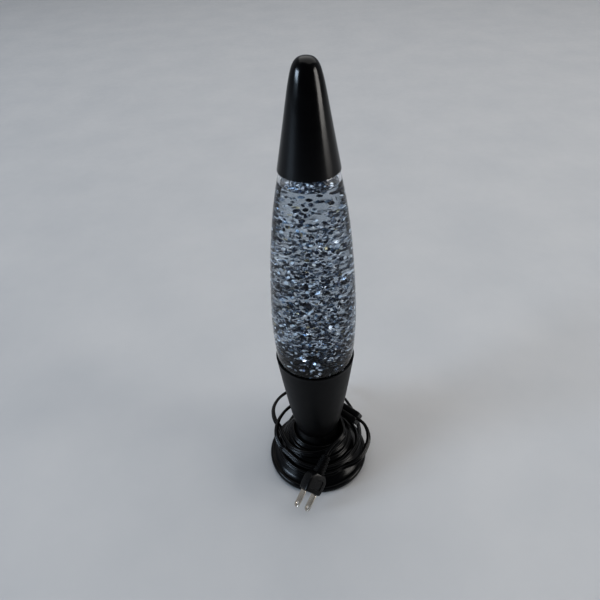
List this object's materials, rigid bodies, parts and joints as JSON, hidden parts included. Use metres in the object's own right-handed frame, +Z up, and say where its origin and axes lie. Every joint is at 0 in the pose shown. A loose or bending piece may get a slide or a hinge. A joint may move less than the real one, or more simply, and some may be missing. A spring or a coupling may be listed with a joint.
{
  "type": "glitter lamp",
  "caption": "Rocket-shaped black glitter lamp: spun base, clear liquid-filled bottle, cone cap, screw bulb and a mains lead wound round the waist.",
  "frame": {"origin": "centre of the round footprint on the table, at the undersides of the rubber pads", "axes": "+Z up along the lamp's axis, -Y to the front where the plug lies, +Y to the strain relief"},
  "size_m": [0.0963, 0.1426, 0.368],
  "materials": {
    "base_black": "satin",
    "cap_black": "gloss",
    "cover_plastic": "matte",
    "black_rubber": "matte",
    "zinc_steel": "satin",
    "brass": "satin",
    "nickel": "gloss",
    "phenolic": "gloss",
    "bottle_glass": "clear",
    "bulb_glass": "clear",
    "clear_liquid": "clear",
    "cord_vinyl": "satin",
    "moulded_vinyl": "satin",
    "wire_black": "satin",
    "wire_white": "satin"
  },
  "bodies": {
    "base": {"base_shell": "base_black", "bottom_cover": "cover_plastic", "foot_pad_1": "black_rubber", "foot_pad_2": "black_rubber", "foot_pad_3": "black_rubber", "foot_pad_4": "black_rubber", "lamp_pipe": "zinc_steel", "pipe_washer": "zinc_steel", "pipe_nut": "zinc_steel", "socket_bracket": "zinc_steel", "bracket_nut": "zinc_steel", "socket_body": "phenolic", "socket_shell": "brass", "socket_contact": "brass", "hot_wire": "wire_black", "neutral_wire": "wire_white", "strain_relief": "black_rubber", "globe_seat_ring": "black_rubber", "cord_exit_lead": "cord_vinyl", "cord_winding": "cord_vinyl", "cord_rear_lead": "cord_vinyl", "cord_loop_right": "cord_vinyl", "cord_loop_left": "cord_vinyl", "cord_plug_lead": "cord_vinyl", "switch_lower_case": "moulded_vinyl", "switch_upper_case": "moulded_vinyl", "switch_screw_1": "zinc_steel", "switch_screw_2": "zinc_steel", "plug_body": "moulded_vinyl", "plug_strain_relief": "moulded_vinyl", "plug_blade_left": "nickel", "plug_blade_right": "nickel"},
    "globe": {"globe_glass": "bottle_glass", "liquid": "clear_liquid", "crown_cap": "nickel", "crown_liner": "cover_plastic"},
    "cap": {"cap_cone": "cap_black"},
    "bulb": {"bulb_glass": "bulb_glass", "bulb_base": "nickel", "bulb_insulator": "phenolic", "bulb_contact": "nickel", "bulb_stem": "bulb_glass", "bulb_filament": "nickel"},
    "rocker": {"switch_rocker": "moulded_vinyl"}
  },
  "joints": [
    {"name": "globe_lift", "type": "slide", "parent": "base", "child": "globe", "axis": [0, 0, 1], "range_m": [0, 0.05]},
    {"name": "cap_lift", "type": "slide", "parent": "globe", "child": "cap", "axis": [0, 0, 1], "range_m": [0, 0.045]},
    {"name": "bulb_unscrew", "type": "hinge", "parent": "base", "child": "bulb", "pos_m": [0, 0, 0.073], "axis": [0, 0, 1], "range_deg": [0, 1080]},
    {"name": "switch_press", "type": "hinge", "parent": "base", "child": "rocker", "pos_m": [0.02402, 0.02965, 0.03696], "axis": [-0.3326, -0.3606, 0.8714], "range_deg": [0, 24]}
  ]
}
